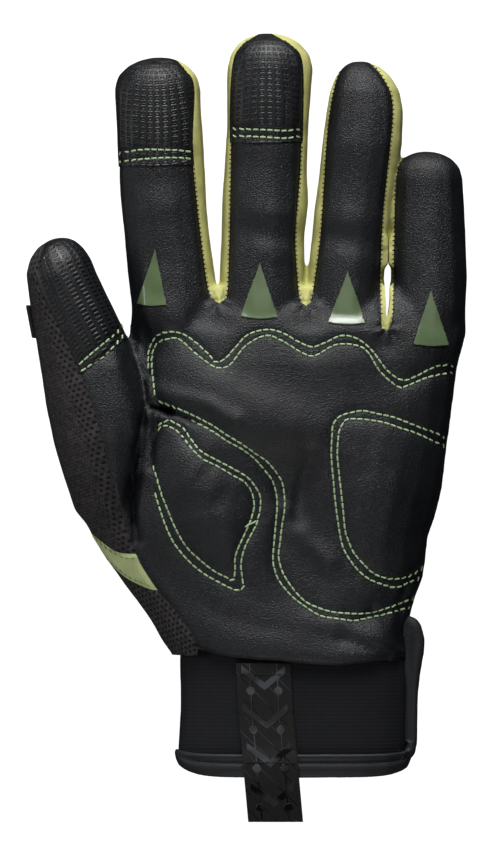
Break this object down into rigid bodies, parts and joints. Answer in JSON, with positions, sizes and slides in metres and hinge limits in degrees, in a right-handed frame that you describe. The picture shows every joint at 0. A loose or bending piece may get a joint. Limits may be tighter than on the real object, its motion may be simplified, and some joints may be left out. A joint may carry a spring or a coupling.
{
  "type": "safety glove",
  "caption": "Left-hand work glove with a leather palm, green finger sides, padded palm, neoprene cuff and pull tab, lying palm up and hollow for a hand.",
  "frame": {"origin": "middle of the bounding box on the surface that the glove lies on", "axes": "+Y towards the fingertips, +Z out of the palm, -X towards the thumb"},
  "size_m": [0.147, 0.2628, 0.0373],
  "materials": {
    "leather": "black synthetic leather, fine grain, soft sheen",
    "grip": "black synthetic leather with a dimpled grip",
    "green_cloth": "pale green stretch fabric",
    "band_cloth": "pale green coated fabric, stitched",
    "gloss_green": "glossy moss green film",
    "mesh_cloth": "dark brown-black air mesh",
    "back_cloth": "black stretch fabric",
    "neoprene": "near-black neoprene with a fine knit face",
    "binding": "dark grey bound edge",
    "strap_cloth": "matte brown-black strap with a glossy print"
  },
  "bodies": {
    "root": {"palm_panel": "leather", "thumb_front": "leather", "index_tip_patch": "grip", "middle_tip_patch": "grip", "thumb_tip_patch": "grip", "thumb_mesh": "mesh_cloth", "thumb_band": "band_cloth", "wrist_mesh": "mesh_cloth", "fourchette_index_middle": "green_cloth", "fourchette_middle_ring": "green_cloth", "fourchette_ring_little": "green_cloth", "back_panel": "back_cloth", "finger_triangle_1": "gloss_green", "finger_triangle_2": "gloss_green", "finger_triangle_3": "gloss_green", "finger_triangle_4": "gloss_green", "thumb_back_patch": "back_cloth", "cuff": "neoprene", "cuff_binding": "binding", "pull_tab": "strap_cloth"}
  },
  "joints": []
}
